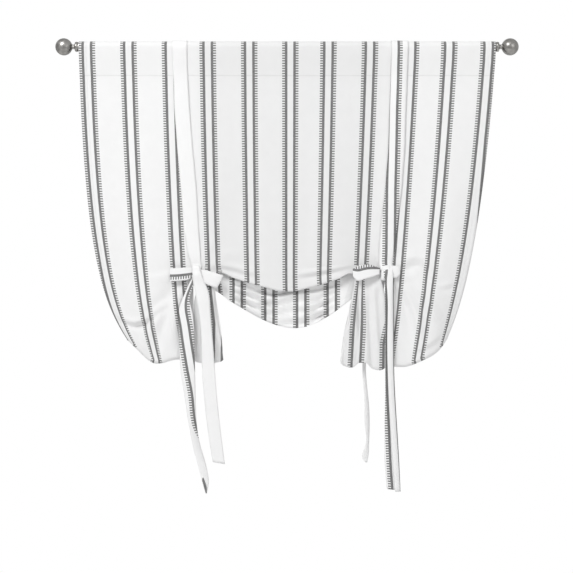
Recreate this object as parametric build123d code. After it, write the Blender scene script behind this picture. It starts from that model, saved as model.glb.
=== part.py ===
from build123d import *
import math
import os

# A tie-up window curtain on its rod: one cloth panel with a rod pocket, held up by two
# long ribbons, each laid over the pocket and tied in a bow round the gathered lower part.
# The rod lies along X, the front of the curtain looks along -Y, and the origin is on the
# rod's axis at the middle of its length. All sizes are in millimetres.

# Rod and finials
rod_half_length = 564.5
rod_diameter = 25.4
rod_wall = 0.8
tube_length = 711.0
inner_clearance = 0.3
plug_length = 18.0
plug_clearance = 0.05
stud_diameter = 6.0
stud_clearance = 0.05
stud_in_plug = 12.0
stud_in_finial = 16.0
end_gap = 0.3
collar_diameter = 27.0
collar_length = 8.6
collar_round = 1.5
neck_diameter = 14.0
neck_length = 8.4
ball_diameter = 46.0

# Rod pocket of the cloth panel, and the seam under it
cloth = 1.2
left_end_gap = 2.5
right_end_gap = 1.0
pocket_slack = 0.3
pocket_depth = 76.0
seam_thickness = 3.6
seam_height = 20.0
seam_drop = 88.0
seam_overlap = 5.0

# Heights of the panel's hang: where the ties pass under it, where the layers behind it
# gather, and the depth that the side lobes reach
tie_level = -590.0
gather_rise = 25.0
hang_depth = 864.0

# How much the hanging panel draws in towards its middle, for each side
panel_centre = 2.7
left_draw = 0.12
left_draw_power = 2.0
left_curl = 0.16
left_curl_power = 5.0
right_draw = 0.17
right_draw_power = 1.25
right_curl = 0.11
right_curl_power = 4.5

# Depth of the front layer's set, of the lobes' bellies and of the cloth's soft waves
front_set = 12.0
lobe_belly = 15.0
edge_set_back = 14.0
edge_round = 80.0
wave_depth = 2.5
wave_length = 170.0
pleat_depth = 4.0
gather_depth = 6.0
gather_share = 0.55
gather_half = 9.0
layer_turn = 4.0
flat_twist = 0.02

# Ribbon ties
ribbon = 44.0
ribbon_cloth = 1.2
ribbon_gap = 0.6
left_strap_x = -288.0
right_strap_x = 302.0
left_tie_x = -243.0
right_tie_x = 265.0
tie_neck = 22.0
tie_pass_width = 17.6
tie_pass_height = 8.0
strap_set_back = 6.0
knot_width = 26.0
knot_round = 5.0
loop_pinch = 0.7
bend_radius = 3.0
knot_set = 4.0
knot_height = 37.0
knot_front = -31.0
knot_back = -17.0

panel_left = left_end_gap - rod_half_length
panel_right = rod_half_length - right_end_gap
gather_level = tie_level + gather_rise
knot_top = tie_level - knot_set
knot_middle = knot_top - knot_height / 2
strap_depth = gather_depth + 2 * layer_turn + cloth + strap_set_back

# The drape's lines below are drawn with the panel's sides and the ties at these places,
# and with the ties and the lobes' bottom at these heights. A changed size moves them.
drawn_sides = (-562.0, -243.0, 265.0, 563.5)
drawn_heights = (0.0, 590.0, 864.0)

inner_diameter = rod_diameter - 2 * rod_wall - 2 * inner_clearance
pocket_radius = rod_diameter / 2 + pocket_slack


def mix(a, b, share):
    return a + (b - a) * share


def ease(share):
    return share * share * (3 - 2 * share)


# Where a drawn place lies once its two neighbours among the stations have moved
def carried(value, drawn_at, moved_to):
    index = 0
    while index < len(drawn_at) - 2 and value > drawn_at[index + 1]:
        index += 1
    share = (value - drawn_at[index]) / (drawn_at[index + 1] - drawn_at[index])
    return mix(moved_to[index], moved_to[index + 1], share)


def across(x):
    return carried(x, drawn_sides, (panel_left, left_tie_x, right_tie_x, panel_right))


def down(z):
    return -carried(-z, drawn_heights, (0.0, -tie_level, hang_depth))


# The rod: a wide tube, and a slimmer one that slides in it
def tube(diameter, start, length):
    ring = Circle(diameter / 2) - Circle(diameter / 2 - rod_wall)
    return extrude(Plane.YZ.offset(start) * ring, length)


def end_plug(bore, side):
    face = Plane.YZ.offset(side * rod_half_length)
    body = extrude(face * Circle(bore / 2 - plug_clearance), -side * plug_length)
    hole = extrude(face * Circle(stud_diameter / 2), -side * stud_in_plug)
    return body - hole


# A ball on a waisted neck and a collar, turned in one piece, with a blind hole for its stud
def finial(side):
    collar_start = rod_half_length + end_gap
    neck_start = collar_start + collar_length
    ball_start = neck_start + neck_length
    ball_radius = ball_diameter / 2
    neck_radius = neck_diameter / 2
    ball_centre = ball_start + math.sqrt(ball_radius**2 - neck_radius**2)
    collar_radius = collar_diameter / 2
    with BuildSketch(Plane.XZ) as outline:
        with BuildLine():
            Polyline(
                (ball_centre + ball_radius, 0),
                (collar_start, 0),
                (collar_start, collar_radius - collar_round),
            )
            ThreePointArc(
                (collar_start, collar_radius - collar_round),
                (collar_start + collar_length / 2, collar_radius),
                (neck_start, collar_radius - collar_round),
            )
            Line((neck_start, collar_radius - collar_round), (neck_start, neck_radius + 1))
            ThreePointArc(
                (neck_start, neck_radius + 1),
                (neck_start + neck_length / 2, neck_radius - 0.8),
                (ball_start, neck_radius),
            )
            ThreePointArc(
                (ball_start, neck_radius),
                (ball_centre, ball_radius),
                (ball_centre + ball_radius, 0),
            )
        make_face()
    body = revolve(outline.sketch, Axis.X)
    hole = extrude(
        Plane.YZ.offset(collar_start) * Circle(stud_diameter / 2 + stud_clearance),
        stud_in_finial + end_gap,
    )
    body = body - hole
    return body if side > 0 else mirror(body, Plane.YZ)


def stud(side):
    start = rod_half_length + end_gap + stud_in_finial
    bar = Plane.YZ.offset(side * start) * Circle(stud_diameter / 2)
    return extrude(bar, -side * (stud_in_finial + end_gap + stud_in_plug))


# Where a thread that starts at top_x on the rod pocket has drawn in to at height z
def front_x(top_x, z):
    depth = max(0.0, (-z - 20) / (hang_depth - 20))
    reach = (top_x - panel_centre) / (panel_right - panel_centre)
    if reach < 0:
        draw = left_draw * depth**left_draw_power
        curl = left_curl * depth**left_curl_power
    else:
        draw = right_draw * depth**right_draw_power
        curl = right_curl * depth**right_curl_power
    return panel_centre + (top_x - panel_centre) * (1 - draw - curl * reach**4)


# How far the front layer lies from the rod's axis plane, forward being minus
def front_y(top_x, z):
    depth = max(0.0, (-z - seam_drop) / (hang_depth - seam_drop))
    if top_x < left_tie_x:
        across = (top_x - panel_left) / (left_tie_x - panel_left)
    elif top_x > right_tie_x:
        across = (panel_right - top_x) / (panel_right - right_tie_x)
    else:
        across = 1.0
    across = min(1.0, max(0.0, across))
    belly = lobe_belly * math.sin(math.pi * across) * depth**1.5
    back = edge_set_back * (1 - across) ** 3 * depth
    wave = wave_depth * math.sin(2 * math.pi * top_x / wave_length) * min(1.0, 2 * depth)
    return -front_set * ease(min(1.0, depth * 1.4)) - belly + back + wave


# The place on the rod pocket of the thread that hangs at x at the height of the ties
def pocket_x(x):
    top_x = x
    for _ in range(20):
        top_x += x - front_x(top_x, tie_level)
    return top_x


def spread(count):
    return [index / (count - 1) for index in range(count)]


# A stretch of the panel's bottom: its span at the height of the ties, the line of its
# bottom fold, the line of the hem behind, the places on them of the threads that the
# sheet is ruled between, the fold's radius and bulge, and how deep its pleats are
class Stretch:
    def __init__(self, span, fold, hem, shares, radius, bulge, pleats=0.0):
        self.span = span
        self.fold = fold
        self.hem = hem
        self.shares = shares
        self.radius = radius
        self.bulge = bulge
        self.pleats = pleats


def between(start, end):
    return (across(start), across(end))


def drawn(*points):
    return Spline(*[(across(x), 0, down(z)) for x, z in points])


left_lobe = Stretch(
    (front_x(panel_left, tie_level), across(-284.0)),
    drawn((-434, -792), (-400, -824), (-351, -857), (-308, -847), (-252, -850)),
    drawn((-418, -772), (-380, -806), (-340, -830), (-300, -824), (-262, -826)),
    spread(11), 13.0, 9.0,
)
left_slit_out = Stretch(
    between(-262.0, -254.0),
    drawn((-250, -830), (-254, -606)),
    drawn((-262, -826), (-256, -608)),
    [1.0], 7.0, 2.0,
)
left_slit_in = Stretch(
    between(-233.0, -225.0),
    drawn((-233, -606), (-237, -830)),
    drawn((-233, -608), (-226, -622)),
    [0.0], 7.0, 2.0,
)
left_ear = Stretch(
    between(-222.0, -202.0),
    drawn((-235, -848), (-205, -858), (-172, -846)),
    drawn((-223, -627), (-211, -643), (-198, -657)),
    spread(5), 6.0, 4.0, 1.0,
)
left_ear_side = Stretch(
    between(-195.0, -193.0),
    drawn((-170, -830), (-193, -626)),
    drawn((-194, -660), (-175, -672)),
    [1.0], 5.0, 2.5,
)
middle = Stretch(
    between(-184.0, 176.0),
    drawn((-182, -611), (-119, -634), (-43, -655), (0, -663), (43, -656), (119, -635), (175, -613)),
    drawn((-160, -684), (-100, -720), (-38, -750), (30, -761), (76, -748), (125, -721)),
    spread(12), 6.0, 4.0,
)
right_ear_side = Stretch(
    between(182.0, 192.0),
    drawn((185, -626), (187, -700), (150, -785), (142, -832)),
    drawn((134, -714), (141, -709), (151, -701), (161, -694)),
    [0.0], 5.0, 2.5,
)
right_ear = Stretch(
    between(197.0, 238.0),
    drawn((148, -850), (175, -869), (204, -850), (234, -877), (256, -860)),
    drawn((168, -688), (190, -671), (212, -654), (230, -638), (243, -626)),
    spread(8), 6.0, 4.0, 1.0,
)
right_slit_in = Stretch(
    between(246.0, 254.0),
    drawn((258, -830), (254, -606)),
    drawn((246, -622), (254, -608)),
    [1.0], 7.0, 2.0,
)
right_slit_out = Stretch(
    between(276.0, 284.0),
    drawn((276, -606), (272, -830)),
    drawn((278, -608), (284, -826)),
    [0.0], 7.0, 2.0,
)
right_lobe = Stretch(
    (across(306.0), front_x(panel_right, tie_level)),
    drawn((274, -862), (313, -866), (362, -850), (408, -824), (436, -788)),
    drawn((284, -838), (318, -840), (355, -826), (395, -802), (420, -770)),
    spread(10), 13.0, 9.0,
)
stretches = [
    left_lobe,
    left_slit_out,
    left_slit_in,
    left_ear,
    left_ear_side,
    middle,
    right_ear_side,
    right_ear,
    right_slit_in,
    right_slit_out,
    right_lobe,
]
drawn_in = (left_lobe, left_slit_out, right_slit_out, right_lobe)


# The way out of the cloth at a place on the bottom fold, square to the fold's line
def outward_of(stretch, share):
    along = stretch.fold % share
    return Vector(along.Z, 0, -along.X).normalized()


# One thread of the panel, from the pocket's seam down the front, round the bottom fold,
# up behind to the gather, and down again to the hem. It comes in spans of places, each
# place with the way its printed face looks, and a span starts where the last one ends.
def thread(stretch, share):
    front_face = Vector(0, -1, 0)
    back_face = Vector(0, 1, 0)
    outward = outward_of(stretch, share)
    top_x = pocket_x(mix(*stretch.span, share))
    tie_x = left_tie_x if top_x < 0 else right_tie_x
    free_edge = min(1.0, min(top_x - panel_left, panel_right - top_x) / edge_round)
    bulge = stretch.bulge * mix(0.2, 1.0, ease(free_edge))
    fold = stretch.fold @ share - outward * bulge
    hem = stretch.hem @ share
    crimp = stretch.pleats * pleat_depth * math.cos(share * 4 * math.pi)

    front = []
    for step in range(5):
        z = mix(-seam_drop, tie_level, step / 4)
        front.append((Vector(front_x(top_x, z), front_y(top_x, z), z), front_face))

    drop = []
    end_shift = fold.X - front_x(top_x, fold.Z)
    for step in range(5):
        part = step / 4
        z = mix(tie_level, fold.Z, part)
        x = front_x(top_x, z) + end_shift * part**3
        drop.append((Vector(x, front_y(top_x, z) - crimp * part, z), front_face))

    turn = []
    low = drop[-1][0]
    for step in range(5):
        angle = math.pi * step / 4
        depth = stretch.radius * (1 - math.cos(angle))
        place = low + outward * bulge * math.sin(angle) + Vector(0, depth, 0)
        turn.append((place, front_face * math.cos(angle) + outward * math.sin(angle)))

    gather_x = front_x(top_x, tie_level)
    if stretch in drawn_in:
        side = math.copysign(1, gather_x - tie_x)
        gather_x = tie_x + side * mix(gather_half, abs(gather_x - tie_x), gather_share)
    rise = []
    start = turn[-1][0]
    for step in range(5):
        part = step / 4
        x = mix(start.X, gather_x, ease(part))
        y = mix(start.Y, gather_depth, part)
        rise.append((Vector(x, y, mix(start.Z, gather_level, part)), back_face))

    over = []
    start = rise[-1][0]
    for step in range(5):
        angle = math.pi * step / 4
        depth = layer_turn * (1 - math.cos(angle))
        place = start + Vector(0, depth, layer_turn * math.sin(angle))
        over.append((place, Vector(0, math.cos(angle), -math.sin(angle))))

    fall = []
    start = over[-1][0]
    behind = max(turn[-1][0].Y + 2 * layer_turn, gather_depth + layer_turn)
    for step in range(6):
        part = step / 5
        z = mix(start.Z, hem.Z, part)
        x = mix(start.X, hem.X, ease(part))
        fall.append((Vector(x, mix(start.Y, behind, ease(part)), z), front_face))
    return [front, drop, turn, rise, over, fall]


# Each span becomes one long curve, apart from the two tight turns, which are short facets
def thread_edges(spans, offset):
    edges = []
    for index, span in enumerate(spans):
        places = [place + face * offset for place, face in span]
        if index in (1, 2, 3, 4):
            edges += [Line(a, b) for a, b in zip(places, places[1:])]
        else:
            edges.append(Spline(*places))
    return edges


# The strip of cloth between two neighbouring edges. A short cell that twists is made of
# two flat triangles, split along its diagonal.
def cloth_between(a, b):
    twist = ((a @ 1) - (a @ 0)).normalized().cross(((b @ 1) - (b @ 0)).normalized()).length
    if a.geom_type != GeomType.LINE or twist < flat_twist:
        return [Face.make_surface_from_curves(a, b)]
    return [
        Face(Wire.make_polygon([a @ 0, a @ 1, b @ 1])),
        Face(Wire.make_polygon([a @ 0, b @ 1, b @ 0])),
    ]


def cloth_sheet(threads):
    printed = [thread_edges(spans, cloth / 2) for spans in threads]
    plain = [thread_edges(spans, -cloth / 2) for spans in threads]
    faces = []
    for edges in (printed, plain):
        for left, right in zip(edges, edges[1:]):
            for a, b in zip(left, right):
                faces += cloth_between(a, b)
    for end in (0, -1):
        for a, b in zip(printed[end], plain[end]):
            faces.append(Face.make_surface_from_curves(a, b))
    tops = [Line(a[0] @ 0, b[0] @ 0) for a, b in zip(printed, plain)]
    hems = [Line(a[-1] @ 1, b[-1] @ 1) for a, b in zip(printed, plain)]
    for ends in (tops, hems):
        for a, b in zip(ends, ends[1:]):
            faces.append(Face.make_surface_from_curves(a, b))
    return Solid(Shell(faces))


# The rod pocket: cloth round the rod, closed under it by a seam that takes in the sheet
def rod_pocket():
    side_z = -pocket_radius**2 / pocket_depth
    side_y = math.sqrt(pocket_radius**2 - side_z**2)
    with BuildSketch() as bore:
        with BuildLine():
            Line((-side_y, side_z), (0, -pocket_depth))
            Line((0, -pocket_depth), (side_y, side_z))
            ThreePointArc((side_y, side_z), (0, pocket_radius), (-side_y, side_z))
        make_face()
    seam = Pos(0, -seam_drop - seam_overlap + seam_height / 2) * Rectangle(seam_thickness, seam_height)
    section = offset(bore.sketch, cloth) + seam - bore.sketch
    return extrude(Plane.YZ.offset(panel_left) * section, panel_right - panel_left)


def curtain_panel():
    threads = []
    for stretch in stretches:
        threads += [thread(stretch, share) for share in stretch.shares]
    return cloth_sheet(threads)


# The outer face of the rod pocket's front, seen in the YZ plane
def pocket_face(z):
    lean = pocket_radius / pocket_depth
    return -(pocket_radius + cloth + lean * z) / math.sqrt(1 - lean**2)


# The nearest that anything of the front layer comes to the viewer under a ribbon's width
def clear_front(x, z):
    if z > -seam_drop - seam_overlap:
        return min(pocket_face(max(z, -pocket_depth)), -seam_thickness / 2)
    nearest = 0.0
    for step in range(5):
        place = x + ribbon * (step / 4 - 0.5)
        top_x = place
        for _ in range(20):
            top_x += place - front_x(top_x, z)
        nearest = min(nearest, front_y(top_x, z))
    return nearest - cloth / 2


# A flat ribbon that runs up or down through level sections, each with its place, its
# width and how far it is turned about the vertical
def hanging_ribbon(*sections):
    outlines = []
    for x, y, z, width, turned in sections:
        level = Plane(origin=(x, y, z), x_dir=(math.cos(turned), math.sin(turned), 0), z_dir=(0, 0, 1))
        outlines.append(level * Rectangle(width, ribbon_cloth))
    return loft(outlines, ruled=True)


# A flat ribbon that runs sideways through upright sections, each with its place and height
def level_ribbon(*sections):
    outlines = []
    for x, y, z, height in sections:
        upright = Plane(origin=(x, y, z), x_dir=(0, 1, 0), z_dir=(1, 0, 0))
        outlines.append(upright * Rectangle(ribbon_cloth, height))
    return loft(outlines, ruled=True)


# The part of a ribbon that lies over the rod pocket
def pocket_strap(x):
    inner = pocket_radius + cloth + ribbon_gap
    ring = Circle(inner + ribbon_cloth) - Circle(inner)
    half = ring & (Pos(0, inner) * Rectangle(4 * inner, 2 * inner))
    return extrude(Plane.YZ.offset(x - ribbon / 2) * half, ribbon)


def front_leg(top_x, tie_x):
    inner = pocket_radius + cloth + ribbon_gap
    sections = [(top_x, -inner - ribbon_cloth / 2, 0, ribbon, 0)]
    for share in (0.07, 0.14, 0.17, 0.37, 0.59, 0.81, 0.99):
        z = share * knot_top
        x = mix(top_x, tie_x, share**1.4)
        y = min(clear_front(x, z), -seam_thickness / 2) - ribbon_gap - ribbon_cloth / 2
        narrow = mix(ribbon, tie_neck, max(0, (share - 0.85) / 0.15))
        sections.append((x, y, z, narrow, 0))
    return hanging_ribbon(*sections)


def back_leg(top_x, tie_x):
    inner = pocket_radius + cloth + ribbon_gap
    sections = [(top_x, inner + ribbon_cloth / 2, 0, ribbon, 0)]
    for share in (0.1, 0.42, 0.75, 1.0):
        x = mix(top_x, tie_x, share)
        y = mix(inner + ribbon_cloth / 2, strap_depth, share)
        narrow = mix(ribbon, tie_pass_width, max(0, (share - 0.6) / 0.4))
        sections.append((x, y, share * knot_middle, narrow, 0))
    return hanging_ribbon(*sections)


# The ribbon's gathered neck that passes forward under the panel, into the bow's knot
def tie_pass(tie_x):
    back = strap_depth + ribbon_cloth / 2
    place = Pos(tie_x, knot_middle - tie_pass_height / 2)
    bar = Plane.XZ.offset(-back) * place * Rectangle(tie_pass_width, tie_pass_height)
    return extrude(bar, back - knot_back + knot_round)


def knot(tie_x):
    block = Box(knot_width, knot_back - knot_front, knot_height)
    block = fillet(block.edges(), knot_round)
    return Pos(tie_x, (knot_back + knot_front) / 2, knot_middle) * block


# A flattened loop of the bow: out to its folded end, and back behind itself
def bow_loop(tie_x, reach, drop, lift, height):
    side = math.copysign(1, reach)
    root_x = tie_x + side * knot_width / 4
    end_x = tie_x + reach
    end_z = tie_level - drop
    front = (knot_back + knot_front) / 2 - bend_radius
    layers = []
    for y in (front, front + 2 * bend_radius):
        sections = [
            (root_x, y, knot_middle, height * loop_pinch),
            (mix(root_x, end_x, 0.5), y - lift, mix(knot_middle, end_z, 0.5), height),
            (end_x, y - lift, end_z, height),
        ]
        layers.append(level_ribbon(*sections[:: int(side)]))
    ring = Circle(bend_radius + ribbon_cloth / 2) - Circle(bend_radius - ribbon_cloth / 2)
    half = ring & (Pos(side * 2 * bend_radius, 0) * Rectangle(4 * bend_radius, 4 * bend_radius))
    bend = extrude(half, height / 2, both=True)
    bend = Pos(end_x, front - lift + bend_radius, end_z) * bend
    return layers[0] + layers[1] + bend


# A free end of the ribbon, by its sections as they lie from the knot
def tail(tie_x, sections):
    placed = []
    for x, y, drop, width, turned in sections:
        placed.append((tie_x + x, y, tie_level - drop, width, turned))
    return hanging_ribbon(*placed)


def tie(top_x, tie_x, loops, tails):
    body = pocket_strap(top_x) + front_leg(top_x, tie_x) + back_leg(top_x, tie_x)
    body = body + tie_pass(tie_x) + knot(tie_x)
    for loop in loops:
        body = body + bow_loop(tie_x, *loop)
    for sections in tails:
        body = body + tail(tie_x, sections)
    return body


# Each bow's loops, by the reach and drop of their far ends, their lift and their height
left_loops = [(-67, 26, 3.0, 36.0), (55, 38, 1.0, 33.0)]
right_loops = [(-83, 20, 3.0, 36.0), (35, 21, 1.0, 33.0)]

# Each tail, by its sections: aside of the knot, depth, drop below the ties, width and turn
left_tails = [
    (
        (-15, -25, 32, 16, 0.2),
        (-27, -36, 100, 26, 0.3),
        (-29, -40, 176, 32, 0.2),
        (-24, -40, 292, 34, -0.2),
        (-19, -38, 370, 30, 0.5),
        (-5, -36, 470, 24, 1),
        (13, -36, 550, 14, 0.6),
        (25, -36, 614, 10, 0.2),
    ),
    (
        (5, -24, 32, 20, -0.1),
        (13, -34, 100, 32, -0.1),
        (26, -38, 176, 34, 0.1),
        (32, -38, 292, 36, 0.1),
        (45, -38, 430, 36, 0),
        (60, -38, 533, 36, 0),
    ),
]
right_tails = [
    (
        (7, -25, 32, 16, 0.1),
        (12, -37, 110, 17, 0.3),
        (14, -41, 292, 18, 0.3),
        (21, -41, 430, 18, 0.4),
        (33, -40, 609, 16, 0.3),
    ),
    (
        (-3, -24, 32, 14, 0),
        (-3, -32, 110, 20, 0.2),
        (1, -36, 260, 26, 0.2),
        (6, -36, 420, 28, 0.1),
        (12, -36, 604, 30, 0.1),
    ),
]

outer_bore = rod_diameter - 2 * rod_wall
inner_bore = inner_diameter - 2 * rod_wall
parts = {
    "curtain_panel": curtain_panel() + rod_pocket(),
    "left_tie": tie(left_strap_x, left_tie_x, left_loops, left_tails),
    "right_tie": tie(right_strap_x, right_tie_x, right_loops, right_tails),
    "outer_rod": tube(rod_diameter, -rod_half_length, tube_length),
    "inner_rod": tube(inner_diameter, rod_half_length - tube_length, tube_length),
    "left_end_plug": end_plug(outer_bore, -1),
    "right_end_plug": end_plug(inner_bore, 1),
    "left_finial": finial(-1),
    "right_finial": finial(1),
    "left_finial_stud": stud(-1),
    "right_finial_stud": stud(1),
}

os.makedirs("parts", exist_ok=True)
for name, solid in parts.items():
    solid.label = name
    export_step(solid, f"parts/{name}.step")
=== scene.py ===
import math

import bpy
import numpy as np
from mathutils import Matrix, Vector


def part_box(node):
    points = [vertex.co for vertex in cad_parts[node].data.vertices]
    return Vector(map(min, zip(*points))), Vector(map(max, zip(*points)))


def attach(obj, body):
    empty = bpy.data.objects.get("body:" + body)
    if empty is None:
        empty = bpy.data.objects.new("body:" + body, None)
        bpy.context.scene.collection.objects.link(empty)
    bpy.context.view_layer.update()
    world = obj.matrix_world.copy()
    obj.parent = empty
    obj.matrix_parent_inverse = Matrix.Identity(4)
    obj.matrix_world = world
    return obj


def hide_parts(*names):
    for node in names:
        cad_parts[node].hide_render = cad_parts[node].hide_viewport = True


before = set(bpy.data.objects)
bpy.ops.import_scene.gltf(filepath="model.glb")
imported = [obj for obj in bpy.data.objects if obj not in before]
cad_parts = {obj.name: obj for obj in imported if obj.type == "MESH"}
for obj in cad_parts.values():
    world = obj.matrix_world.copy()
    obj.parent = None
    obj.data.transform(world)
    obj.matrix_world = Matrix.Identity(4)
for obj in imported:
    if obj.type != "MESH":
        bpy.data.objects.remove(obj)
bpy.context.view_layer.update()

bl_info = {
    "name": "Tie-up Curtain",
    "version": (1, 0, 0),
    "blender": (4, 5, 0),
    "location": "3D View > Sidebar > Curtain",
    "description": "Dresses a tie-up window curtain with striped cloth, ribbon ties and a metal rod",
    "category": "Add Mesh",
}

# Shapes are worked out in millimetres, as cloth is cut, and become metres in the meshes
MM = 0.001

panel_low, panel_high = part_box("curtain_panel")
rod_low, rod_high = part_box("outer_rod")
PANEL_LEFT = panel_low.x / MM
PANEL_RIGHT = panel_high.x / MM
ROD_RADIUS = (rod_high.z - rod_low.z) / 2 / MM

# The rod pocket and its seam
POCKET_SLACK = 1.6
POCKET_DEPTH = 76.0
SEAM_TOP = -78.0
SEAM_DROP = -88.0
SEAM_HALF = 0.9

# Heights: where the ties pass under the panel, where the layers behind it gather, and how
# far down the side lobes reach
TIE_LEVEL = -590.0
GATHER_LEVEL = -565.0
HANG_DEPTH = 864.0

# How much the hanging panel draws in towards its middle: amount and power for each side
PANEL_CENTRE = 2.7
LEFT_DRAW = (0.12, 1.55)
LEFT_CURL = (0.16, 5.0)
RIGHT_DRAW = (0.17, 1.25)
RIGHT_CURL = (0.11, 4.5)

# Depths of the front layer, its lobes and its soft waves
FRONT_SET = 12.0
LOBE_BELLY = 15.0
EDGE_SET_BACK = 14.0
EDGE_ROUND = 80.0
WAVE_DEPTH = 2.5
WAVE_LENGTH = 170.0
PLEAT_DEPTH = 4.0
GATHER_DEPTH = 6.0
GATHER_SHARE = 0.55
GATHER_HALF = 9.0
LAYER_TURN = 4.0

# Ribbons and knots
LEFT_TIE_X = -243.0
RIGHT_TIE_X = 265.0
POCKET_CLEARANCE = 2.1
FRONT_CLEARANCE = 2.6
RIBBON_OVER = ROD_RADIUS + POCKET_SLACK + POCKET_CLEARANCE
BACK_DEPTH = 21.5
KNOT_DEPTH = -24.0
KNOT_HEIGHT = -612.0


def mix(a, b, share):
    return a + (b - a) * share


def ease(share):
    return share * share * (3 - 2 * share)


def smooth_line(points, count):
    """A natural cubic spline through rows of numbers, sampled evenly along it."""
    points = np.array(points, float)
    chords = np.linalg.norm(np.diff(points[:, :3], axis=0), axis=1)
    knots = np.concatenate([[0.0], np.cumsum(chords)])
    gaps = np.diff(knots)
    size = len(points)
    matrix = np.eye(size)
    bends = np.zeros_like(points)
    for i in range(1, size - 1):
        matrix[i, i - 1 : i + 2] = gaps[i - 1], 2 * (gaps[i - 1] + gaps[i]), gaps[i]
        ahead = (points[i + 1] - points[i]) / gaps[i]
        bends[i] = 6 * (ahead - (points[i] - points[i - 1]) / gaps[i - 1])
    bends = np.linalg.solve(matrix, bends)
    wanted = np.linspace(0, knots[-1], count)
    cell = np.clip(np.searchsorted(knots, wanted, side="right") - 1, 0, size - 2)
    gap = gaps[cell][:, None]
    left = (knots[cell + 1] - wanted)[:, None]
    past = (wanted - knots[cell])[:, None]
    curve = (bends[cell] * left**3 + bends[cell + 1] * past**3) / (6 * gap)
    curve += (points[cell] / gap - bends[cell] * gap / 6) * left
    curve += (points[cell + 1] / gap - bends[cell + 1] * gap / 6) * past
    return curve


def smooth_across(knots, rows, wanted):
    """Rows between the given ones, smooth and never overshooting them."""
    gaps = np.diff(knots)
    slopes = np.diff(rows, axis=0) / gaps[:, None, None]
    before, after = slopes[:-1], slopes[1:]
    same = before * after > 0
    inner = np.where(same, 2 * before * after / np.where(same, before + after, 1.0), 0.0)
    tangents = np.concatenate([slopes[:1], inner, slopes[-1:]])
    cell = np.clip(np.searchsorted(knots, wanted, side="right") - 1, 0, len(knots) - 2)
    gap = gaps[cell][:, None, None]
    t = ((wanted - knots[cell]) / gaps[cell])[:, None, None]
    rise = rows[cell] * (1 + 2 * t) * (1 - t) ** 2 + rows[cell + 1] * t**2 * (3 - 2 * t)
    return rise + gap * (tangents[cell] * t * (1 - t) ** 2 - tangents[cell + 1] * t**2 * (1 - t))


class Line:
    """A smooth line in the XZ plane, asked by the share of its length."""

    def __init__(self, *points):
        self.places = smooth_line([(x, z, 0.0) for x, z in points], 160)[:, :2]
        steps = np.linalg.norm(np.diff(self.places, axis=0), axis=1)
        self.shares = np.concatenate([[0.0], np.cumsum(steps)]) / steps.sum()

    def at(self, share):
        return np.array([np.interp(share, self.shares, self.places[:, axis]) for axis in (0, 1)])

    def outward(self, share):
        ahead = self.at(min(1.0, share + 0.02)) - self.at(max(0.0, share - 0.02))
        return np.array([ahead[1], -ahead[0]]) / np.linalg.norm(ahead)


class Stretch:
    """A stretch of the panel's bottom: its span at the ties' height, its fold and its hem.

    shares are where its threads lie along both, radius and bulge are the fold's depth and how
    far it swells past its line, and a stretch that is drawn in narrows to the knot behind.
    """

    def __init__(self, span, fold, hem, shares, radius, bulge, pleats=0.0, drawn_in=False):
        self.span = span
        self.fold = Line(*fold)
        self.hem = Line(*hem)
        self.shares = shares
        self.radius = radius
        self.bulge = bulge
        self.pleats = pleats
        self.drawn_in = drawn_in


def front_x(top_x, z):
    """Where a thread that starts at top_x on the pocket has drawn in to at height z."""
    depth = max(0.0, (-z - 20) / (HANG_DEPTH - 20))
    reach = (top_x - PANEL_CENTRE) / (PANEL_RIGHT - PANEL_CENTRE)
    draw, curl = (LEFT_DRAW, LEFT_CURL) if reach < 0 else (RIGHT_DRAW, RIGHT_CURL)
    drawn = draw[0] * depth ** draw[1] + curl[0] * depth ** curl[1] * reach**4
    return PANEL_CENTRE + (top_x - PANEL_CENTRE) * (1 - drawn)


def front_y(top_x, z):
    """How far the front layer lies from the rod's axis plane, forward being minus."""
    depth = max(0.0, (-z + SEAM_DROP) / (HANG_DEPTH + SEAM_DROP))
    if top_x < LEFT_TIE_X:
        across = (top_x - PANEL_LEFT) / (LEFT_TIE_X - PANEL_LEFT)
    elif top_x > RIGHT_TIE_X:
        across = (PANEL_RIGHT - top_x) / (PANEL_RIGHT - RIGHT_TIE_X)
    else:
        across = 1.0
    across = min(1.0, max(0.0, across))
    belly = LOBE_BELLY * math.sin(math.pi * across) * depth**1.5
    back = EDGE_SET_BACK * (1 - across) ** 3 * depth
    wave = WAVE_DEPTH * math.sin(2 * math.pi * top_x / WAVE_LENGTH) * min(1.0, 2 * depth)
    return -FRONT_SET * ease(min(1.0, depth * 1.4)) - belly + back + wave


def pocket_x(x, z=TIE_LEVEL):
    """The place on the pocket of the thread that hangs at x at height z."""
    top_x = x
    for _ in range(20):
        top_x += x - front_x(top_x, z)
    return top_x


def spread(count):
    return [index / (count - 1) for index in range(count)]


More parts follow.
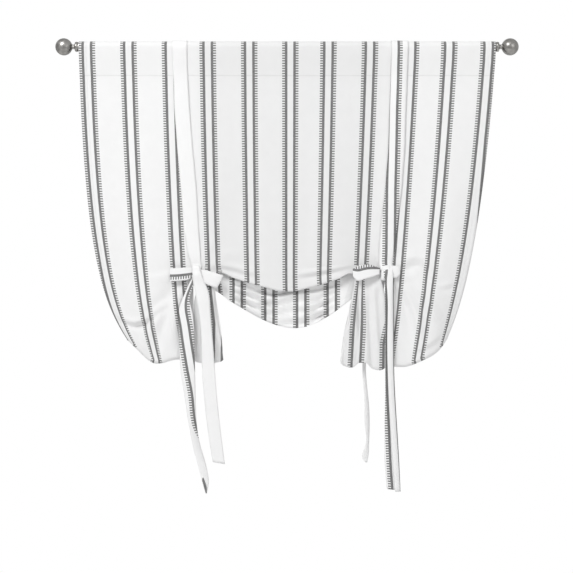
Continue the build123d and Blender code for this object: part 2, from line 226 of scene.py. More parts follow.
STRETCHES = [
    Stretch(
        (front_x(PANEL_LEFT, TIE_LEVEL), -284.0),
        [(-434, -792), (-400, -824), (-351, -857), (-308, -847), (-252, -850)],
        [(-418, -772), (-380, -806), (-340, -830), (-300, -824), (-262, -826)],
        spread(11), 13.0, 9.0, drawn_in=True,
    ),
    Stretch(
        (-262.0, -254.0),
        [(-250, -830), (-254, -606)],
        [(-262, -826), (-256, -608)],
        [1.0], 7.0, 2.0, drawn_in=True,
    ),
    Stretch(
        (-233.0, -225.0),
        [(-233, -606), (-237, -830)],
        [(-233, -608), (-226, -622)],
        [0.0], 7.0, 2.0,
    ),
    Stretch(
        (-222.0, -202.0),
        [(-235, -848), (-205, -858), (-172, -846)],
        [(-223, -627), (-211, -643), (-198, -657)],
        spread(5), 6.0, 4.0, 1.0,
    ),
    Stretch(
        (-195.0, -193.0),
        [(-170, -830), (-177, -790), (-194, -744), (-206, -700), (-203, -626)],
        [(-194, -660), (-175, -672)],
        [1.0], 5.0, 2.5,
    ),
    Stretch(
        (-184.0, 176.0),
        [(-182, -611), (-119, -634), (-43, -655), (0, -663), (43, -656), (119, -635), (175, -613)],
        [(-160, -684), (-100, -720), (-38, -750), (30, -761), (76, -748), (125, -721)],
        spread(12), 6.0, 4.0,
    ),
    Stretch(
        (182.0, 192.0),
        [(196, -626), (190, -692), (160, -754), (138, -796), (134, -830)],
        [(134, -714), (141, -709), (151, -701), (161, -694)],
        [0.0], 5.0, 2.5,
    ),
    Stretch(
        (197.0, 238.0),
        [(144, -851), (175, -869), (204, -850), (234, -877), (256, -860)],
        [(168, -688), (190, -671), (212, -654), (230, -638), (243, -626)],
        spread(8), 6.0, 4.0, 1.0,
    ),
    Stretch(
        (246.0, 254.0),
        [(258, -830), (254, -606)],
        [(246, -622), (254, -608)],
        [1.0], 7.0, 2.0,
    ),
    Stretch(
        (276.0, 284.0),
        [(276, -606), (272, -830)],
        [(278, -608), (284, -826)],
        [0.0], 7.0, 2.0, drawn_in=True,
    ),
    Stretch(
        (306.0, front_x(PANEL_RIGHT, TIE_LEVEL)),
        [(274, -862), (313, -866), (362, -850), (408, -824), (436, -788)],
        [(284, -838), (318, -840), (355, -826), (395, -802), (420, -770)],
        spread(10), 13.0, 9.0, drawn_in=True,
    ),
]

# How many places a thread has in each of its spans
SPANS = {"pocket": 18, "front": 40, "drop": 44, "turn": 7, "rise": 10, "over": 3, "fall": 32}


def span_rows(name):
    """The rows of the cloth's grid that belong to a span."""
    start = 0
    for span, count in SPANS.items():
        if span == name:
            return slice(start, start + count)
        start += count
    raise KeyError(name)


def pocket_section():
    """The pocket's outline in the YZ plane, from the seam behind, over the rod, to the front."""
    radius = ROD_RADIUS + POCKET_SLACK
    side_z = -(radius**2) / POCKET_DEPTH
    side_angle = math.asin(side_z / radius)
    side_y = radius * math.cos(side_angle)
    behind = [(SEAM_HALF, SEAM_DROP), (SEAM_HALF, SEAM_TOP), (mix(SEAM_HALF, side_y, 0.5), SEAM_TOP / 2)]
    arc = [
        (radius * math.cos(angle), radius * math.sin(angle))
        for angle in np.linspace(side_angle, math.pi - side_angle, SPANS["pocket"] - 5)
    ]
    return behind + arc + [(-y, z) for y, z in reversed(behind[1:])]


def thread(stretch, share):
    """One thread of the panel, from the pocket's seam behind to the hem."""
    top_x = pocket_x(mix(*stretch.span, share))
    tie_x = LEFT_TIE_X if top_x < 0 else RIGHT_TIE_X
    across = stretch.fold.outward(share)
    outward = np.array([across[0], 0.0, across[1]])
    free_edge = min(1.0, max(0.0, min(top_x - PANEL_LEFT, PANEL_RIGHT - top_x)) / EDGE_ROUND)
    bulge = stretch.bulge * mix(0.2, 1.0, ease(free_edge))
    fold_x, fold_z = stretch.fold.at(share) - across * bulge
    hem_x, hem_z = stretch.hem.at(share)
    crimp = stretch.pleats * PLEAT_DEPTH * math.cos(share * 4 * math.pi)

    places = [(front_x(top_x, z), y, z) for y, z in pocket_section()]
    for part in np.linspace(0, 1, SPANS["front"] + 1)[1:]:
        z = mix(SEAM_DROP, TIE_LEVEL, part)
        places.append((front_x(top_x, z), front_y(top_x, z), z))
    end_shift = fold_x - front_x(top_x, fold_z)
    for part in np.linspace(0, 1, SPANS["drop"] + 1)[1:]:
        z = mix(TIE_LEVEL, fold_z, part)
        places.append((front_x(top_x, z) + end_shift * part**3, front_y(top_x, z) - crimp * part, z))
    low = np.array(places[-1])
    for angle in np.linspace(0, math.pi, SPANS["turn"] + 1)[1:]:
        depth = np.array([0, stretch.radius * (1 - math.cos(angle)), 0])
        places.append(low + outward * bulge * math.sin(angle) + depth)
    turn_end = places[-1]
    gather_x = front_x(top_x, TIE_LEVEL)
    if stretch.drawn_in:
        side = math.copysign(1, gather_x - tie_x)
        gather_x = tie_x + side * mix(GATHER_HALF, abs(gather_x - tie_x), GATHER_SHARE)
    for part in np.linspace(0, 1, SPANS["rise"] + 1)[1:]:
        x = mix(turn_end[0], gather_x, ease(part))
        places.append((x, mix(turn_end[1], GATHER_DEPTH, part), mix(turn_end[2], GATHER_LEVEL, part)))
    top = np.array(places[-1])
    for angle in np.linspace(0, math.pi, SPANS["over"] + 1)[1:]:
        places.append(top + np.array([0, LAYER_TURN * (1 - math.cos(angle)), LAYER_TURN * math.sin(angle)]))
    start = places[-1]
    behind = max(turn_end[1] + 2 * LAYER_TURN, GATHER_DEPTH + LAYER_TURN)
    for part in np.linspace(0, 1, SPANS["fall"] + 1)[1:]:
        x = mix(start[0], hem_x, ease(part))
        places.append((x, mix(start[1], behind, ease(part)), mix(start[2], hem_z, part)))
    return np.array(places, float)


def crease(places, points, depth, width):
    """How far a soft crease along a line lifts and sinks the cloth at these places."""
    line = smooth_line([(x, z, 0.0) for x, z in points], 60)[:, :2]
    ahead = np.gradient(line, axis=0)
    normals = np.stack([-ahead[:, 1], ahead[:, 0]], axis=1)
    normals /= np.linalg.norm(normals, axis=1, keepdims=True)
    flat = places[..., [0, 2]].reshape(-1, 2)
    apart = flat[:, None, :] - line[None, :, :]
    nearest = np.argmin((apart**2).sum(axis=2), axis=1)
    offset = apart[np.arange(len(flat)), nearest]
    signed = (offset * normals[nearest]).sum(axis=1)
    along = np.linalg.norm(offset, axis=1)
    share = nearest / (len(line) - 1)
    taper = np.sin(np.pi * np.clip(share, 0.02, 0.98)) ** 0.6
    reach = np.exp(-((along / width) ** 2))
    return (depth * taper * reach * signed / width * 2.3).reshape(places.shape[:-1])


# Creases of the front layer: the points of each, its depth and its width
FRONT_CREASES = [
    ([(-452, -732), (-425, -748), (-400, -750), (-380, -742), (-355, -722), (-318, -692)], 7.0, 9.0),
    ([(-300, -668), (-340, -706), (-372, -752), (-396, -800)], 6.5, 18.0),
    ([(-296, -650), (-316, -730), (-332, -826)], 7.5, 17.0),
    ([(-300, -600), (-330, -612), (-372, -616)], 1.5, 12.0),
    ([(316, -606), (338, -582), (362, -584), (378, -606), (386, -640)], 6.5, 13.0),
    ([(408, -652), (436, -650), (458, -638)], 2.2, 9.0),
    ([(306, -640), (326, -690), (342, -750), (346, -815)], 8.5, 17.0),
    ([(330, -640), (366, -690), (392, -750)], 7.0, 20.0),
    ([(340, -826), (384, -808), (420, -776)], 2.4, 10.0),
    ([(25, -622), (80, -614), (130, -604), (178, -594)], 5.0, 11.0),
    ([(60, -596), (120, -588), (180, -578)], 2.5, 10.0),
    ([(-194, -592), (-140, -604), (-80, -622)], 3.5, 11.0),
    ([(-196, -576), (-150, -572), (-110, -578)], 2.5, 10.0),
]

# Folds that fan out round each knot: how many, their depth, how far off and how wide they show
FAN_FOLDS = 9
FAN_DEPTH = 1.6
FAN_DISTANCE = 55.0
FAN_WIDTH = 38.0

# The front's small unevenness, and over how much of the way down it grows
UNEVEN_DEPTH = 0.7
UNEVEN_GROWTH = 200.0

# The ears: from where down and over what height they spread and fold, how far from the knot
# they are tucked in, how far forward the tuck comes, and how deep the folds are
EAR_TOP = -615.0
EAR_GROWTH = 80.0
EAR_TUCK_REACH = 62.0
EAR_TUCK = -3.0
EAR_FOLD = 3.2

# The swag's pleats: the cloth between these places has them, this many down its height, this
# deep, and they fade out over the last stretch before this distance from the middle
PLEATED = (-196.0, 196.0)
SWAG_PLEATS = 6.4
SWAG_PLEAT = 7.0
PLEATS_FADE = 60.0
PLEATS_END = 200.0


def wrinkled(grid, tops):
    """The cloth's grid with its creases, pleats and small unevenness."""
    front = slice(span_rows("front").start, span_rows("drop").stop)
    places = grid[:, front]
    lift = np.zeros(places.shape[:-1])
    for points, depth, width in FRONT_CREASES:
        lift += crease(places, points, depth, width)
    for tie_x in (LEFT_TIE_X, RIGHT_TIE_X):
        away_x, away_z = places[..., 0] - tie_x, places[..., 2] - KNOT_HEIGHT
        distance = np.hypot(away_x, away_z)
        fan = np.cos(FAN_FOLDS * np.arctan2(away_z, away_x) + tie_x)
        lift += FAN_DEPTH * fan * np.exp(-(((distance - FAN_DISTANCE) / FAN_WIDTH) ** 2))
    x, z = places[..., 0], places[..., 2]
    down = np.clip((SEAM_DROP - z) / UNEVEN_GROWTH, 0, 1)
    lift += down * UNEVEN_DEPTH * np.sin(x / 31 + 1.7 * np.sin(z / 140)) * np.sin(z / 67 + x / 210)
    grid[:, front, 1] -= lift

    hanging = slice(span_rows("drop").start, span_rows("rise").stop)
    for ear, tie_x in ((LEFT_EAR, LEFT_TIE_X), (RIGHT_EAR, RIGHT_TIE_X)):
        chosen = np.flatnonzero(between_ties(tops, ear))
        places = grid[chosen, hanging]
        foot = ease(np.clip((EAR_TOP - places[..., 2]) / EAR_GROWTH, 0, 1))
        near = np.clip(1 - np.abs(places[..., 0] - tie_x) / EAR_TUCK_REACH, 0, 1)
        folds = np.sin(places[..., 0] / 3.6 + 0.9 * np.sin(places[..., 2] / 60))
        folds = folds + 0.5 * np.sin(places[..., 0] / 8.5 + 1.0)
        places[..., 0] += ear[2] * near * foot
        places[..., 1] += EAR_TUCK * near * foot - EAR_FOLD * folds * foot * (1 - near * 0.4)
        grid[chosen, hanging] = places

    fall = span_rows("fall")
    across = tops[:, None]
    part = np.linspace(0, 1, SPANS["fall"])[None, :]
    inside = np.clip((PLEATS_END - np.abs(across)) / PLEATS_FADE, 0, 1)
    inside = inside * between_ties(tops, PLEATED)[:, None]
    sway = 0.4 * np.sin(across / 70) + 0.15 * np.sin(across / 23)
    phase = 2 * np.pi * (part * SWAG_PLEATS + sway)
    pleats = np.sin(phase) - 0.5 * np.sin(2 * phase) + 0.25 * np.sin(3 * phase)
    uneven = 1 + 0.4 * np.sin(across / 47 + part * 5)
    grid[:, fall, 1] += SWAG_PLEAT * pleats * uneven * inside * ease(np.clip(part * 2.2, 0, 1))
    return grid


def quads(grid, first=0):
    """The faces over a grid of places, numbered from the first one on."""
    numbers = np.arange(grid.shape[0] * grid.shape[1]).reshape(grid.shape[:2]) + first
    corners = (numbers[:-1, :-1], numbers[1:, :-1], numbers[1:, 1:], numbers[:-1, 1:])
    return np.stack([corner.ravel() for corner in corners], axis=1).tolist()


def cloth_mesh(name, places, faces, attributes):
    """A smooth mesh with an attribute for each named row of values."""
    mesh = bpy.data.meshes.new(name)
    mesh.from_pydata((places * MM).tolist(), [], faces)
    for label, values in attributes.items():
        layer = mesh.attributes.new(label, "FLOAT", "POINT")
        layer.data.foreach_set("value", np.ascontiguousarray(values, np.float32).ravel())
    mesh.polygons.foreach_set("use_smooth", [True] * len(mesh.polygons))
    mesh.update()
    return mesh


def add_piece(name, mesh, material, body):
    """A piece of the scene with its material and slot, riding on a body."""
    piece = bpy.data.objects.new(name, mesh)
    bpy.context.scene.collection.objects.link(piece)
    mesh.materials.append(material)
    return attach(piece, body)


def thicken(piece, thickness):
    """Give cloth its thickness, half to each side."""
    solid = piece.modifiers.new("thickness", "SOLIDIFY")
    solid.thickness = thickness * MM
    solid.offset = 0.0
    solid.use_rim = True
    solid.use_even_offset = False


# Pairs of printed lines: their centres on the pocket, and in the swag between the ties
PAIR_CENTRES = [-540, -428, -316, -214, -102, 9, 112, 224, 335, 438, 544]
SWAG_CENTRES = [-133.7, -47.7, 38.6, 121.5]

# Each ear: the cloth that hangs in it, from here to here, and how far aside it is pulled at
# its foot. The swag: the cloth that hangs between the ears.
LEFT_EAR = (-236.0, -188.0, -20.0)
RIGHT_EAR = (180.0, 258.0, 14.0)
SWAG = (-193.0, 192.0)

# The lines' middles in each ear, as x at a height, from the ties to the foot
LEFT_EAR_PAIR = [(front_x(-214, TIE_LEVEL), TIE_LEVEL), (-196, -645), (-185, -750), (-187, -850)]
RIGHT_EAR_PAIR = [(front_x(224, TIE_LEVEL), TIE_LEVEL), (194, -700), (190, -780), (185, -870)]
RIGHT_EAR_FOLD = [(300, -600), (286, -740), (272, -800), (271, -870)]

# How much of their spacing the lines keep at the knot, and over what height they open again
LEFT_GATHERED = 1.0
RIGHT_GATHERED = 0.45
EAR_OPENS = 190.0

# Where the outermost line slides off a turned side edge: from this far down, over this
# far, until it is printed at this share of its distance
LEFT_EDGE_SLIDES = (560.0, 160.0, 0.55)
RIGHT_EDGE_SLIDES = (250.0, 260.0, 0.36)


def nearest_pair(values, centres):
    """How far each value lies from the nearest of the pairs' centres."""
    apart = np.abs(values[..., None] - np.array(centres, float))
    return apart.min(axis=-1)


def across_line(x, z, points):
    """How far aside of a line, given as x at falling heights, the places lie."""
    heights = [-height for _, height in points]
    return np.abs(x - np.interp(-z, heights, [place for place, _ in points]))


def between_ties(tops, part):
    """Which threads, by their place on the pocket, hang in a part of the panel's bottom."""
    return (tops > pocket_x(part[0])) & (tops < pocket_x(part[1]))


def print_across(grid, tops):
    """For each place of the panel, how far it lies from the middle of its pair of lines."""
    apart = np.repeat(nearest_pair(tops, PAIR_CENTRES)[:, None], grid.shape[1], axis=1)
    for past, (start, over, share) in (
        (PAIR_CENTRES[0] - tops, LEFT_EDGE_SLIDES),
        (tops - PAIR_CENTRES[-1], RIGHT_EDGE_SLIDES),
    ):
        turned = np.clip((-grid[..., 2] - start) / over, 0, 1)
        apart = np.where(past[:, None] > 0, apart * mix(1.0, share, turned), apart)

    hanging = slice(span_rows("drop").start, span_rows("fall").stop)
    for ear, lines, gathered in (
        (LEFT_EAR, [LEFT_EAR_PAIR], LEFT_GATHERED),
        (RIGHT_EAR, [RIGHT_EAR_PAIR, RIGHT_EAR_FOLD], RIGHT_GATHERED),
    ):
        chosen = between_ties(tops, ear)
        places = grid[chosen, hanging]
        aside = [across_line(places[..., 0], places[..., 2], line) for line in lines]
        opened = ease(np.clip((TIE_LEVEL - places[..., 2]) / EAR_OPENS, 0, 1))
        apart[chosen, hanging] = np.min(aside, axis=0) / mix(gathered, 1.0, opened)
    fall = span_rows("fall")
    swag = between_ties(tops, SWAG)
    apart[swag, fall] = nearest_pair(grid[swag, fall, 0], SWAG_CENTRES)
    return apart


def length_along(grid):
    """How far down its own thread each place lies."""
    steps = np.linalg.norm(np.diff(grid, axis=1), axis=2)
    return np.concatenate([np.zeros((len(grid), 1)), np.cumsum(steps, axis=1)], axis=1)


def opaque(colour, share=1.0):
    """A colour for a socket, or that share of it."""
    return tuple(part * share for part in colour) + (1.0,)


class Nodes:
    """Short ways to add nodes to a material or a world and link them."""

    def __init__(self, owner):
        owner.use_nodes = True
        self.owner = owner
        self.tree = owner.node_tree
        self.shader = self.tree.nodes.get("Principled BSDF") or self.tree.nodes["Background"]

    def set(self, **values):
        """Set the main shader's sockets, named with _ for each space."""
        for name, value in values.items():
            self.shader.inputs[name.replace("_", " ")].default_value = value

    def add(self, kind, **settings):
        node = self.tree.nodes.new(kind)
        for key, value in settings.items():
            setattr(node, key, value)
        return node

    def link(self, a, b):
        self.tree.links.new(a, b)

    def math(self, operation, a, b=None, c=None):
        node = self.add("ShaderNodeMath", operation=operation)
        for socket, value in zip(node.inputs, (a, b, c)):
            if value is None:
                continue
            if isinstance(value, (int, float)):
                socket.default_value = value
            else:
                self.link(value, socket)
        return node.outputs[0]

    def attribute(self, name):
        return self.add("ShaderNodeAttribute", attribute_name=name).outputs["Fac"]

    def step(self, value, low, high):
        node = self.add("ShaderNodeMapRange", interpolation_type="SMOOTHSTEP", clamp=True)
        self.link(value, node.inputs["Value"])
        node.inputs["From Min"].default_value = low
        node.inputs["From Max"].default_value = high
        return node.outputs["Result"]

    def between(self, value, low, high, soft):
        rise = self.step(value, low - soft / 2, low + soft / 2)
        fall = self.step(value, high - soft / 2, high + soft / 2)
        return self.math("SUBTRACT", rise, fall)

    def mix_colour(self, share, a, b):
        node = self.add("ShaderNodeMix", data_type="RGBA")
        self.link(share, node.inputs["Factor"])
        for socket, value in ((node.inputs["A"], a), (node.inputs["B"], b)):
            if isinstance(value, tuple):
                socket.default_value = value
            else:
                self.link(value, socket)
        return node.outputs["Result"]

    def scaled(self, colour, share):
        node = self.add("ShaderNodeVectorMath", operation="SCALE")
        self.link(colour, node.inputs[0])
        self.link(share, node.inputs["Scale"])
        return node.outputs[0]

    def noise(self, scale, detail=3.0, vector=None):
        node = self.add("ShaderNodeTexNoise")
        node.inputs["Scale"].default_value = scale
        node.inputs["Detail"].default_value = detail
        if vector is None:
            vector = self.add("ShaderNodeTexCoord").outputs["Object"]
        self.link(vector, node.inputs["Vector"])
        return node.outputs["Fac"]

    def lift_where_looked_at(self, rays, share, bright):
        """Mix a bright shader over the main one, for the rays named and by that share."""
        path = self.add("ShaderNodeLightPath").outputs
        looked_at = self.math("MAXIMUM", *[path[ray] for ray in rays])
        mixer = self.add("ShaderNodeMixShader")
        self.link(self.math("MULTIPLY", looked_at, share), mixer.inputs["Fac"])
        self.link(self.shader.outputs[0], mixer.inputs[1])
        self.link(bright.outputs[0], mixer.inputs[2])
        output = next(node for node in self.tree.nodes if "Surface" in node.inputs)
        self.link(mixer.outputs["Shader"], output.inputs["Surface"])

    def bump(self, height, distance, strength=1.0, before=None):
        node = self.add("ShaderNodeBump")
        node.inputs["Distance"].default_value = distance
        node.inputs["Strength"].default_value = strength
        self.link(height, node.inputs["Height"])
        if before is not None:
            self.link(before, node.inputs["Normal"])
        return node.outputs["Normal"]


# Relief of the cloth in metres: its weave, the step of its hems, its stitches, its crumples
WEAVE_RELIEF = 0.00018
HEM_RELIEF = 0.0009
STITCH_RELIEF = 0.0006
CRUMPLE_RELIEF = 0.0035

# The part of each tooth's pitch that is printed, and of each stitch's pitch that is thread
TOOTH_PART = (0.22, 0.74)
STITCH_PART = (0.1, 0.72)


def printed_cloth(name, settings, ground_colour):
    """Plain-woven cotton with pairs of toothed lines, placed by the mesh's attributes, with painted shade on
    the front's middle, painted light on the swag and a painted shadow along the pocket's seam.
    """
    nodes = Nodes(bpy.data.materials.new(name))
    apart = nodes.attribute("stripe")
    run = nodes.attribute("run")
    warp = nodes.attribute("warp")
    inner, width, teeth = settings.line_inner, settings.line_width, settings.tooth_length
    solid = nodes.between(apart, inner, inner + width, 0.9)
    tooth_reach = nodes.between(apart, inner + width - 0.5, inner + width + teeth, 0.9)
    cycle = nodes.math("FRACT", nodes.math("DIVIDE", run, settings.tooth_pitch))
    tooth = nodes.between(cycle, *TOOTH_PART, 0.16)
    ink = nodes.math("MAXIMUM", solid, nodes.math("MULTIPLY", tooth_reach, tooth))
    fade = nodes.noise(220.0, 4.0)
    ink = nodes.math("MULTIPLY", ink, nodes.math("MULTIPLY_ADD", fade, 0.25, 0.83))
    # A painted shadow along the pocket's seam: the lines' dark colour is laid faintly over the cloth there
    painted_seam_shadow = nodes.math("MULTIPLY", nodes.between(nodes.attribute("seam"), -1.0, 1.2, 1.0), 0.1)
    ink = nodes.math("MAXIMUM", ink, painted_seam_shadow)

    slub = nodes.noise(38.0, 5.0)
    ground = nodes.mix_colour(slub, opaque(ground_colour, settings.unevenness), opaque(ground_colour))
    # Painted shading: the ground is darkened between the ties on the front to stand in for shade, and
    # lightened on the swag to stand in for light
    shade = nodes.math("MULTIPLY_ADD", nodes.attribute("middle"), settings.painted_shade_share - 1.0, 1.0)
    ground = nodes.scaled(ground, shade)
    colour = nodes.mix_colour(ink, ground, opaque(settings.line_colour))
    nodes.link(colour, nodes.shader.inputs["Base Color"])
    nodes.set(Roughness=0.86, Sheen_Weight=0.25, Sheen_Roughness=0.5, Specular_IOR_Level=0.25)

    turns = 2 * math.pi / settings.yarn_pitch
    weft = nodes.math("SINE", nodes.math("MULTIPLY", run, turns))
    yarn = nodes.math("SINE", nodes.math("MULTIPLY", warp, turns))
    weave = nodes.bump(nodes.math("MULTIPLY", weft, yarn), WEAVE_RELIEF, 0.55)
    edge = nodes.attribute("edge")
    hem = nodes.step(edge, settings.hem_width + 0.8, settings.hem_width - 0.8)
    hemmed = nodes.bump(hem, HEM_RELIEF, 0.8, weave)
    along = nodes.math("DIVIDE", nodes.math("ADD", run, warp), settings.stitch_pitch)
    dash = nodes.between(nodes.math("FRACT", along), *STITCH_PART, 0.1)
    stitch_line = nodes.between(edge, settings.hem_width - 3.4, settings.hem_width - 2.2, 0.5)
    seam = nodes.between(nodes.attribute("seam"), -1.0, 1.3, 0.8)
    sewn = nodes.math("MAXIMUM", nodes.math("MULTIPLY", dash, stitch_line), seam)
    stitched = nodes.bump(nodes.math("SUBTRACT", 0.0, sewn), STITCH_RELIEF, 0.6, hemmed)
    crumple = nodes.bump(nodes.noise(26.0, 4.0), CRUMPLE_RELIEF, 0.35, stitched)
    nodes.link(crumple, nodes.shader.inputs["Normal"])
    return nodes.owner


def brushed_metal(name, colour, roughness, dark):
    """Satin metal with fine turned lines and darker patches of wear."""
    nodes = Nodes(bpy.data.materials.new(name))
    place = nodes.add("ShaderNodeTexCoord").outputs["Object"]
    stretched = nodes.add("ShaderNodeMapping")
    stretched.inputs["Scale"].default_value = (900.0, 60.0, 60.0)
    nodes.link(place, stretched.inputs["Vector"])
    lines = nodes.noise(1.0, 2.0, stretched.outputs["Vector"])
    patches = nodes.noise(70.0, 5.0)
    patch = nodes.step(patches, 0.35, 0.7)
    tint = nodes.mix_colour(patch, opaque(colour, dark), opaque(colour))
    nodes.link(tint, nodes.shader.inputs["Base Color"])
    nodes.set(Metallic=1.0)
    rough = nodes.math("MULTIPLY_ADD", lines, 0.16, roughness - 0.08)
    nodes.link(rough, nodes.shader.inputs["Roughness"])
    nodes.link(nodes.bump(lines, 0.00008, 0.5), nodes.shader.inputs["Normal"])
    return nodes.owner


def moulded_plastic(name, colour):
    """Dull plastic with a fine grain."""
    nodes = Nodes(bpy.data.materials.new(name))
    grain = nodes.noise(420.0, 2.0)
    tint = nodes.mix_colour(grain, opaque(colour, 0.8), opaque(colour))
    nodes.link(tint, nodes.shader.inputs["Base Color"])
    nodes.set(Roughness=0.55)
    nodes.link(nodes.bump(grain, 0.0001, 0.4), nodes.shader.inputs["Normal"])
    return nodes.owner


class ClothSettings(bpy.types.PropertyGroup):
    """The cotton of the panel and the ties, and its print"""

    ground_colour: bpy.props.FloatVectorProperty(
        name="Ground", description="Colour of the cotton", subtype="COLOR", default=(0.9, 0.9, 0.9)
    )
    ribbon_colour: bpy.props.FloatVectorProperty(
        name="Ribbon",
        description="Colour of the ribbons' cotton",
        subtype="COLOR",
        default=(0.93, 0.93, 0.93),
    )
    # Share of the cotton's colour left between the ties on the front, a painted shade; the swag is lightened
    # by as much, a painted light
    painted_shade_share: bpy.props.FloatProperty(
        name="Middle", description="Share of the colour left between the ties", default=0.93, max=1.0
    )
    unevenness: bpy.props.FloatProperty(
        name="Unevenness", description="Share of the colour left where it is darkest", default=0.955, max=1.0
    )
    line_colour: bpy.props.FloatVectorProperty(
        name="Lines", description="Colour of the printed lines", subtype="COLOR", default=(0.16, 0.16, 0.16)
    )
    line_inner: bpy.props.FloatProperty(
        name="Half gap", description="From a pair's middle to its lines, in mm", default=8.0, min=1.0
    )
    line_width: bpy.props.FloatProperty(
        name="Line width", description="Width of a line's solid part, in mm", default=6.8, min=0.5
    )
    tooth_length: bpy.props.FloatProperty(
        name="Tooth length", description="Reach of the teeth beside a line, in mm", default=7.4, min=0.5
    )
    tooth_pitch: bpy.props.FloatProperty(
        name="Tooth pitch", description="From tooth to tooth, in mm", default=6.8, min=1.0
    )
    yarn_pitch: bpy.props.FloatProperty(
        name="Yarn pitch", description="From yarn to yarn of the weave, in mm", default=1.3, min=0.3
    )
    hem_width: bpy.props.FloatProperty(
        name="Hem width", description="Width of the turned hems, in mm", default=20.0, min=3.0
    )
    stitch_pitch: bpy.props.FloatProperty(
        name="Stitch pitch", description="From stitch to stitch of the hems, in mm", default=3.6, min=1.0
    )
    thickness: bpy.props.FloatProperty(
        name="Thickness", description="Thickness of the cloth, in mm", default=0.9, min=0.2
    )
    cell: bpy.props.FloatProperty(
        name="Cell", description="Widest spacing of the panel's threads, in mm", default=9.8, min=2.0
    )


class MetalSettings(bpy.types.PropertyGroup):
    """The rod, its finials and their studs"""

    rod_colour: bpy.props.FloatVectorProperty(
        name="Rod", description="Colour of the rod's metal", subtype="COLOR", default=(0.5, 0.49, 0.47)
    )
    finial_colour: bpy.props.FloatVectorProperty(
        name="Finials", description="Colour of the finials", subtype="COLOR", default=(0.46, 0.45, 0.43)
    )
    plug_colour: bpy.props.FloatVectorProperty(
        name="Plugs", description="Colour of the end plugs", subtype="COLOR", default=(0.03, 0.03, 0.03)
    )
    roughness: bpy.props.FloatProperty(
        name="Roughness", description="Roughness of the metal", default=0.36, min=0.0, max=1.0
    )


class StageSettings(bpy.types.PropertyGroup):
    """The floor, the backdrop, the lamps and the camera"""

    view_width: bpy.props.FloatProperty(
        name="View width", description="Width that the camera sees", default=1.547, unit="LENGTH"
    )
    view_height: bpy.props.FloatProperty(
        name="View height", description="Height of the camera's line of sight", default=-0.6485, unit="LENGTH"
    )
    lens: bpy.props.FloatProperty(name="Lens", description="Focal length of the camera, in mm", default=100.0)
    floor_height: bpy.props.FloatProperty(
        name="Floor", description="Height of the floor", default=-2.05, unit="LENGTH"
    )
    floor_reach: bpy.props.FloatProperty(
        name="Floor reach", description="How far the floor reaches to each side", default=3.2, unit="LENGTH"
    )
    key_power: bpy.props.FloatProperty(
        name="Key lamp", description="Power of the large lamp", default=132.0, min=0.0
    )
    fill_power: bpy.props.FloatProperty(
        name="Fill lamp", description="Power of the fill lamp", default=22.0, min=0.0
    )
    world_strength: bpy.props.FloatProperty(
        name="Sky", description="Strength of the even light from all round", default=0.56, min=0.0
    )


# Over what width at the ties the painted shade on the front's middle starts: the cloth's colour there is
# darkened to stand in for shade
PAINTED_SHADE_FADE = 70.0

# A distance from a seam or an edge that shows neither
FAR = 90.0


class CURTAIN_OT_hang_panel(bpy.types.Operator):
    """Hang the striped panel, rolled up behind and gathered at its ties"""

    bl_idname = "curtain.hang_panel"
    bl_label = "Hang the panel"

    def execute(self, context):
        settings = context.scene.curtain_cloth
        knots, rows = [], []
        for stretch in STRETCHES:
            for share in stretch.shares:
                knots.append(pocket_x(mix(*stretch.span, share)))
                rows.append(thread(stretch, share))
        knots, rows = np.array(knots), np.array(rows)
        wanted = []
        for index in range(len(knots) - 1):
            widest = np.linalg.norm(rows[index + 1] - rows[index], axis=1).max()
            count = max(2, math.ceil(widest / settings.cell))
            wanted += list(np.linspace(knots[index], knots[index + 1], count, endpoint=False))
        tops = np.array(wanted + [knots[-1]])
        grid = wrinkled(smooth_across(knots, rows, tops), tops)

        run = length_along(grid)
        by_height = np.zeros(run.shape, bool)
        by_height[between_ties(tops, SWAG), span_rows("fall")] = True
        for ear in (LEFT_EAR, RIGHT_EAR):
            by_height[between_ties(tops, ear), span_rows("drop").start :] = True
        side = np.minimum(tops - tops[0], tops[-1] - tops)[:, None]
        # How much painted shading each place carries: 1 darkens the front between the ties for shade, -1
        # lightens the swag for light, 0 leaves the colour as it is
        inside = np.clip((tops - LEFT_TIE_X) / PAINTED_SHADE_FADE + 0.5, 0, 1)
        inside = inside * np.clip((RIGHT_TIE_X - tops) / PAINTED_SHADE_FADE + 0.5, 0, 1)
        middle = np.repeat(ease(inside)[:, None], grid.shape[1], axis=1)
        middle[:, span_rows("turn").start :] = 0.0
        middle[between_ties(tops, SWAG), span_rows("fall")] = -1.0
        above_seam = run < run[0, span_rows("front").stop]
        attributes = {
            "stripe": print_across(grid, tops),
            "middle": middle,
            "run": np.where(by_height, -grid[..., 2], run),
            "warp": np.repeat(tops[:, None], grid.shape[1], axis=1),
            "edge": np.minimum(side, run[:, -1:] - run),
            "seam": np.where(above_seam, np.abs(grid[..., 2] - SEAM_TOP), FAR),
        }
        mesh = cloth_mesh("striped_panel", grid.reshape(-1, 3), quads(grid), attributes)
        cotton = printed_cloth("ticking_cotton", settings, settings.ground_colour)
        panel = add_piece("striped_panel", mesh, cotton, "hung_curtain")
        thicken(panel, settings.thickness)
        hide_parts("curtain_panel")
        return {"FINISHED"}


# How many places lie across a ribbon
RIBBON_ACROSS = 9


